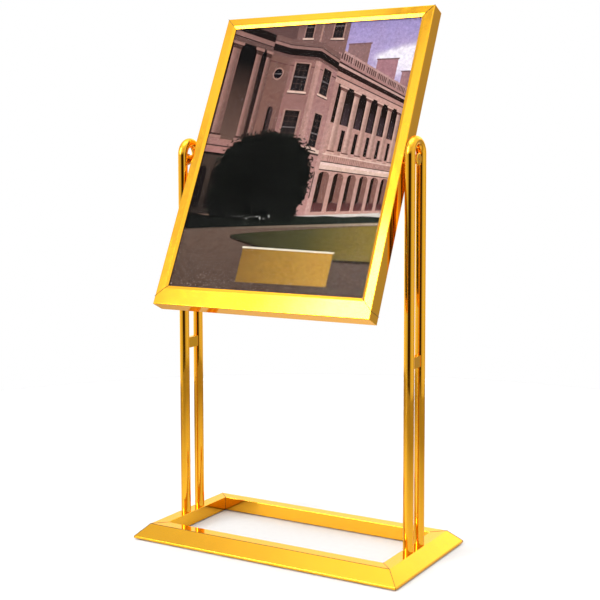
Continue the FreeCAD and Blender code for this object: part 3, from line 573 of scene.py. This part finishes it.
def paint_ground(picture):
    """Gravel, lawn, kerb and hedge, from the front of the picture to the building."""
    picture.box(33, -MARGIN_U, 1 + MARGIN_U, -MARGIN_V, 0.270, tone(84, 68, 60), tone(98, 80, 70))
    us = np.linspace(0, 1, 25)
    far = [(0.265 + 0.765 * t, 0.196 + 0.049 * t ** 0.8) for t in us]
    bends = [math.sin(min(1.0, 1.25 * t) * math.pi / 2) ** 0.9 for t in us]
    near = [(0.265 + 0.765 * t, 0.190 - 0.068 * bend) for t, bend in zip(us, bends)]
    left, middle, right = tone(42, 43, 34), tone(72, 70, 42), tone(132, 112, 46)

    def along(t):
        first, second, share = (left, middle, t / 0.5) if t < 0.5 else (middle, right, (t - 0.5) / 0.5)
        return tuple(a + (b - a) * share for a, b in zip(first, second))

    picture.strip(35, near, far, [along(t) for t in us])
    edge = [(u, v - 0.0065 - 0.003 * t) for (u, v), t in zip(near, us)]
    picture.strip(35, edge, near, [tone(30, 22, 15)] * len(us))
    kerb_low = [(-0.03 + 1.06 * t, 0.208 + 0.038 * t) for t in us]
    kerb_high = [(u, v + 0.004 + 0.006 * t) for (u, v), t in zip(kerb_low, us)]
    picture.strip(36, kerb_low, kerb_high, [tone(70 + 90 * t, 60 + 82 * t, 52 + 70 * t) for t in us])
    hedge_top = [max(0.274 - 0.06 * t, 0.262 + 0.013 * t) + 0.002 * math.sin(37 * t) for t in us]
    hedge_high = [(point[0], top) for point, top in zip(kerb_low, hedge_top)]
    picture.strip(36, kerb_high, hedge_high, [tone(18 + 16 * t, 19 + 22 * t, 18 + 15 * t) for t in us])
    rng = random.Random(11)
    for column, row in ((c, r) for c in range(56) for r in range(16)):
        u, v = 0.018 * (column + 0.6 * rng.random()), 0.004 + 0.0125 * (row + 0.6 * rng.random())
        size = 0.0016 + 0.0034 * rng.random() * (1.1 - v / 0.2)
        grey = rng.choice((48, 64, 112, 138))
        if u < 0.24 or v < 0.10:
            picture.box(34, u, u + 1.6 * size, v, v + size, tone(grey, 0.86 * grey, 0.8 * grey))


def paint_tree(picture):
    """A dark shrub, domed above and square below, with ragged leaves and pale flowers at its foot."""
    rng = random.Random(7)
    middle, wide = (0.345, 0.400), 0.256
    upper, lower = (0.178, 2.4), (0.150, 6.0)  # height and squareness of each half

    def rim_point(turn, size):
        """A point of the shrub's outline, or of a larger or smaller copy of it."""
        across, up = math.cos(turn), math.sin(turn)
        tall, square = upper if up > 0 else lower
        reach = size / (abs(across) ** square + abs(up) ** square) ** (1 / square)
        return middle[0] + wide * reach * across, middle[1] + tall * reach * up

    def leaf(layer, place, size, colour):
        """A slim four-cornered dab that leans at random."""
        lean = rng.uniform(0, math.pi)
        ends = [(place[0] + size * math.cos(lean + a) * r, place[1] + 0.75 * size * math.sin(lean + a) * r)
                for a, r in ((0, 1), (1.2, 0.45), (math.pi, 1), (math.pi + 1.2, 0.45))]
        picture.shape(layer, ends, colour)

    count = 200
    rim = []
    for n in range(count):
        turn = 2 * math.pi * n / count
        size = 1 + 0.015 * math.sin(5 * turn + 1) + 0.02 * math.sin(13 * turn) + rng.uniform(-0.04, 0.03)
        rim.append(rim_point(turn, size))
    picture.fan(37, middle, rim, tone(8, 9, 8), tone(12, 14, 12))
    for n in range(170):
        turn = rng.uniform(-0.35, math.pi + 0.35)
        shade = rng.choice((14, 24, 40))
        leaf(38 + 0.3 * (n % 3), rim_point(turn, rng.uniform(0.97, 1.075)), rng.uniform(0.006, 0.013),
             tone(shade, shade + 2, 0.9 * shade))
    for ring_number in range(1, 13):
        reach = ring_number / 12
        leaves = 5 + 5 * ring_number
        for n in range(leaves):
            turn = 2 * math.pi * (n + 0.5 * rng.random()) / leaves
            place = rim_point(turn, reach + rng.uniform(-0.03, 0.01))
            light = rng.choice((6, 14, 24, 46)) if reach > 0.7 else rng.choice((5, 8, 14, 26))
            colour = tone(light, 1.08 * light, 0.95 * light)
            leaf(39 + 0.3 * (n % 3), place, rng.uniform(0.005, 0.011), colour)
    for n in range(17):
        u, v = 0.255 + 0.0115 * (n + 0.5 * rng.random()), 0.262 + rng.uniform(-0.006, 0.006)
        grey = rng.choice((90, 150, 205))
        leaf(40.2, (u, v), rng.uniform(0.005, 0.009), tone(grey, grey, 0.98 * grey))
    for n in range(14):
        place = middle[0] + rng.uniform(-0.06, 0.16), middle[1] - rng.uniform(0.05, 0.11)
        grey = rng.choice((36, 52, 84))
        leaf(40.2, place, rng.uniform(0.003, 0.006), tone(grey, grey, 0.98 * grey))


def paint_caption(picture):
    """A plain ochre block under a pale rule. It has no lettering."""
    corners = [(0.350, 0.030), (0.812, 0.030), (0.812, 0.143), (0.350, 0.150)]
    left, right = tone(132, 100, 50), tone(186, 143, 60)
    picture.shape(38, corners, [left, right, right, left])
    rule = [(0.346, 0.150), (0.818, 0.1425), (0.818, 0.1485), (0.346, 0.1565)]
    picture.shape(39, rule, tone(228, 220, 200))


def make_poster():
    """The poster: a sheet of paper with the picture on its front."""
    picture = Picture()
    for paint in (
            paint_sky, paint_wing, paint_pavilion, paint_portico, paint_ground, paint_tree, paint_caption):
        paint(picture)
    mesh, tones = picture.mesh, picture.tones
    low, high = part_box("poster_sheet")
    half = (high.x - low.x) / 2
    corners = []
    for depth in (-SHEET_HALF, PAPER_FRONT):
        for across, up in ((-1, -1), (1, -1), (1, 1), (-1, 1)):
            across_sheet = Vector((across * half, 0, 0))
            place = PANEL_MIDDLE + across_sheet + PANEL_UP * up * SHEET_TALL / 2 + PANEL_FRONT * depth
            corners.append(mesh.verts.new(place))
    for side in ((3, 2, 1, 0), (4, 5, 6, 7), (0, 1, 5, 4), (1, 2, 6, 5), (2, 3, 7, 6), (3, 0, 4, 7)):
        face = mesh.faces.new([corners[n] for n in side])
        for loop in face.loops:
            loop[tones] = (*PAPER, 1.0)
    data = bpy.data.meshes.new("poster_picture")
    mesh.to_mesh(data)
    mesh.free()
    poster = bpy.data.objects.new("poster_picture", data)
    bpy.context.scene.collection.objects.link(poster)
    data.materials.append(MATERIALS["poster_print"])
    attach(poster, "panel")
    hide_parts("poster_sheet")


make_poster()


# ---------------------------------------------------------------- joint lines

# Corners of a base member's section, as inset and height, and of a panel member's section, as inset and
# distance in front of the panel's middle plane.
BASE_SECTION = ((0.0, 0.003), (0.0, 0.008), (0.030, 0.037), (0.062, 0.037), (0.062, 0.003))
PANEL_SECTION = ((0.0, 0.021), (0.022, 0.021), (0.030, 0.018))
BOTTOM_MITRE_RISE = 0.020  # the bottom rail is wider than the stiles, so its mitre starts above its corner
SEAM_RADIUS = 0.0007


def seam_material():
    """The tarnished line of a brazed mitre."""
    material, tree, shader, place = new_material("brazed_line", Metallic=0.8)
    tarnish = noise(tree, place, 240.0, 4.0)
    colour = mix_colour(tree, tarnish, (0.16, 0.085, 0.015), (0.06, 0.034, 0.010))
    connect(tree, shader, Base_Color=colour, Roughness=spread(tree, tarnish, 0.3, 0.7, 0.3, 0.55),
            Normal=bump(tree, tarnish, 0.0001, 0.5))
    return material


def make_seam(name, points, body, material):
    """A thin round bead along a mitre."""
    data = bpy.data.curves.new(name, "CURVE")
    data.dimensions, data.bevel_depth, data.bevel_resolution, data.use_fill_caps = "3D", SEAM_RADIUS, 2, True
    spline = data.splines.new("POLY")
    spline.points.add(len(points) - 1)
    for point, place in zip(spline.points, points):
        point.co = (*place, 1.0)
    seam = bpy.data.objects.new(name, data)
    bpy.context.scene.collection.objects.link(seam)
    data.materials.append(material)
    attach(seam, body)


def make_seams():
    """The mitre lines of the base and the panel, and the fold along the front of the base."""
    material = seam_material()
    base_low, base_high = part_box("base_front")
    wide, deep = base_high.x, -base_low.y
    pivot = Vector(next(joint["pos_m"] for joint in frame["joints"] if joint["name"] == "panel_tilt"))
    half_wide, half_tall = panel_half_size(pivot)
    for side, side_name in ((-1, "left"), (1, "right")):
        for end, end_name in ((-1, "front"), (1, "back")):
            points = [(side * (wide - inset), end * (deep - inset), height) for inset, height in BASE_SECTION]
            make_seam(f"base_seam_{end_name}_{side_name}", points, "stand", material)
        fold = [(side * (wide - inset), -(deep - inset), height) for inset, height in BASE_SECTION[2:3]]
        fold.append((0, *fold[0][1:]))
        make_seam(f"base_fold_{side_name}", fold, "stand", material)
        for end, end_name in ((-1, "bottom"), (1, "top")):
            rise = BOTTOM_MITRE_RISE if end < 0 else 0.0
            points = []
            for inset, ahead in PANEL_SECTION:
                corner = pivot + Vector((side * (half_wide - inset), 0, 0))
                points.append(corner + PANEL_UP * end * (half_tall - rise - inset) + PANEL_FRONT * ahead)
            if rise:
                points.insert(0, points[0] - PANEL_FRONT * 2 * PANEL_SECTION[0][1])
            make_seam(f"panel_seam_{end_name}_{side_name}", points, "panel", material)


def panel_half_size(pivot):
    """Half the width and height of the panel, from its stile's and rail's CAD solids."""
    stile = [vertex.co - pivot for vertex in nodes["right_stile"].data.vertices]
    rail = [vertex.co - pivot for vertex in nodes["top_rail"].data.vertices]
    return max(point.x for point in stile), max(point.dot(PANEL_UP) for point in rail)


make_seams()


# ---------------------------------------------------------------- studio

DIM_FROM_TO = (0.35, 1.5)  # metres from the stand
FLOOR_DIM = (0.20, 0.17, 0.13)


def make_floor():
    """A round white floor. Its mirror image in the gold darkens away from the stand, as in a dim room."""
    mesh = bmesh.new()
    bmesh.ops.create_circle(mesh, cap_ends=True, segments=128, radius=FLOOR_RADIUS)
    data = bpy.data.meshes.new("studio_floor")
    mesh.to_mesh(data)
    mesh.free()
    floor = bpy.data.objects.new("studio_floor", data)
    bpy.context.scene.collection.objects.link(floor)
    material, tree, shader, place = new_material("studio_floor")
    paper = noise(tree, place, 60.0, 4.0)
    colour = mix_colour(tree, paper, (0.64, 0.64, 0.638), (0.61, 0.61, 0.608))
    away = add_node(tree, "VectorMath", {0: place}, operation="LENGTH").outputs["Value"]
    dim = mix_colour(tree, spread(tree, away, *DIM_FROM_TO, 0.0, 1.0), colour, FLOOR_DIM)
    colour = mix_colour(tree, add_node(tree, "LightPath").outputs["Is Glossy Ray"], colour, dim)
    connect(tree, shader, Base_Color=colour, Roughness=spread(tree, paper, 0.3, 0.7, 0.55, 0.7))
    data.materials.append(material)


# Brightness of the studio round the stand, by the direction in degrees from the front (-Y), right positive.
LOW_RING = (
    (-180, 1.5), (-150, 1.7), (-100, 1.4), (-60, 1.0), (-20, 0.75), (-12, 0.6), (0, 0.05), (40, 0.03),
    (52, 0.3), (64, 0.8), (90, 0.9), (120, 1.0), (145, 0.5), (160, 0.48), (172, 1.2), (180, 1.5))
MIDDLE_RING = (
    (-180, 2.0), (-156, 1.8), (-144, 1.5), (-110, 1.1), (-63, 0.9), (-49, 0.88), (-46, 1.4), (-43.5, 2.2),
    (-40, 2.6), (-36.5, 18.0), (-28, 18.0), (-20, 2.0), (30, 0.8), (90, 1.0), (145, 1.2), (158, 1.6),
    (161, 2.3), (180, 2.0))
HIGH_RING = (
    (-180, 1.6), (-90, 1.1), (-63, 0.95), (-60, 0.95), (-52, 1.15), (-48, 1.7), (-44, 1.6), (-41, 0.4),
    (-39, 1.8), (-30, 1.9), (20, 1.2), (90, 1.2), (180, 1.6))
OVERHEAD = 1.95
LOW_TO_MIDDLE, MIDDLE_TO_HIGH, HIGH_TO_TOP = (6, 20), (39.5, 42.5), (50, 60)  # degrees above the horizon
RAMP_FULL = 18.0  # brightness of the ramps' white
SHADE_LIMIT = 0.4  # darker parts of the studio than this are warm brown
SHADE_LOSS = (0.0, 0.5, 0.8)  # how much of red, green and blue they lose
KEY_PLACE, KEY_AIM = Vector((0.2, -0.3, 3.9)), Vector((0, 0, 0.6))
KEY_WIDTH, KEY_DEPTH, KEY_POWER = 2.4, 1.6, 40.0
SENSOR_WIDTH = 36.0


def ring(tree, turn, stops):
    """Brightness by direction round the stand, from a colour ramp."""
    ramp = add_node(tree, "ValToRGB", {"Fac": turn})
    elements = ramp.color_ramp.elements
    while len(elements) > 1:
        elements.remove(elements[-1])
    for n, (degrees, light) in enumerate(stops):
        place = (degrees + 180) / 360
        element = elements[0] if n == 0 else elements.new(place)
        element.position = place
        brown = max(0.0, 1 - light / SHADE_LIMIT)
        element.color = [light / RAMP_FULL * (1 - loss * brown) for loss in SHADE_LOSS] + [1.0]
    return ramp.outputs["Color"]


def make_world():
    """The studio's soft light from all round, which shows as white behind the stand."""
    world = bpy.data.worlds.new("studio")
    bpy.context.scene.world = world
    world.use_nodes = True
    tree = world.node_tree
    background = tree.nodes["Background"]
    direction = add_node(tree, "TexCoord").outputs["Generated"]
    axes = add_node(tree, "SeparateXYZ", {0: direction}).outputs
    front = math_node(tree, "MULTIPLY", axes[1], -1.0)
    turn = math_node(tree, "ARCTAN2", axes[0], front)
    turn = spread(tree, turn, -math.pi, math.pi, 0.0, 1.0)
    height = math_node(tree, "MULTIPLY", math_node(tree, "ARCSINE", axes[2]), 180 / math.pi)
    light = ring(tree, turn, LOW_RING)
    upper = ((ring(tree, turn, MIDDLE_RING), LOW_TO_MIDDLE), (ring(tree, turn, HIGH_RING), MIDDLE_TO_HIGH),
             ((OVERHEAD / RAMP_FULL,) * 3, HIGH_TO_TOP))
    for colour, (low, high) in upper:
        share = add_node(tree, "MapRange", {"Value": height, "From Min": float(low), "From Max": float(high)},
                         interpolation_type="SMOOTHSTEP").outputs[0]
        light = mix_colour(tree, share, light, colour)
    light = mix_colour(tree, 1.0, light, (RAMP_FULL,) * 3, "MULTIPLY")
    seen = add_node(tree, "LightPath").outputs["Is Camera Ray"]
    tree.links.new(mix_colour(tree, seen, light, (1.0, 1.0, 1.0)), background.inputs["Color"])


def make_light():
    """A large soft lamp overhead."""
    data = bpy.data.lights.new("soft_key", "AREA")
    data.shape, data.size, data.size_y = "RECTANGLE", KEY_WIDTH, KEY_DEPTH
    data.energy = KEY_POWER
    lamp = bpy.data.objects.new("soft_key", data)
    bpy.context.scene.collection.objects.link(lamp)
    lamp.location = KEY_PLACE
    lamp.rotation_mode = "QUATERNION"
    lamp.rotation_quaternion = (KEY_AIM - KEY_PLACE).to_track_quat("-Z", "Y")


def make_camera():
    data = bpy.data.cameras.new("camera")
    data.lens, data.sensor_width, data.shift_y = CAMERA_LENS, SENSOR_WIDTH, CAMERA_SHIFT_Y
    data.dof.use_dof = False
    camera = bpy.data.objects.new("camera", data)
    bpy.context.scene.collection.objects.link(camera)
    camera.location = CAMERA_PLACE
    yaw, down, roll = (math.radians(a) for a in (CAMERA_YAW, CAMERA_DOWN, CAMERA_ROLL))
    level = Matrix.Rotation(yaw, 4, "Z") @ Matrix.Rotation(math.pi / 2 - down, 4, "X")
    turned = level @ Matrix.Rotation(roll, 4, "Z")
    camera.rotation_mode = "QUATERNION"
    camera.rotation_quaternion = turned.to_quaternion()
    bpy.context.scene.camera = camera


make_floor()
make_world()
make_light()
make_camera()
bpy.context.scene.view_settings.view_transform = "Standard"
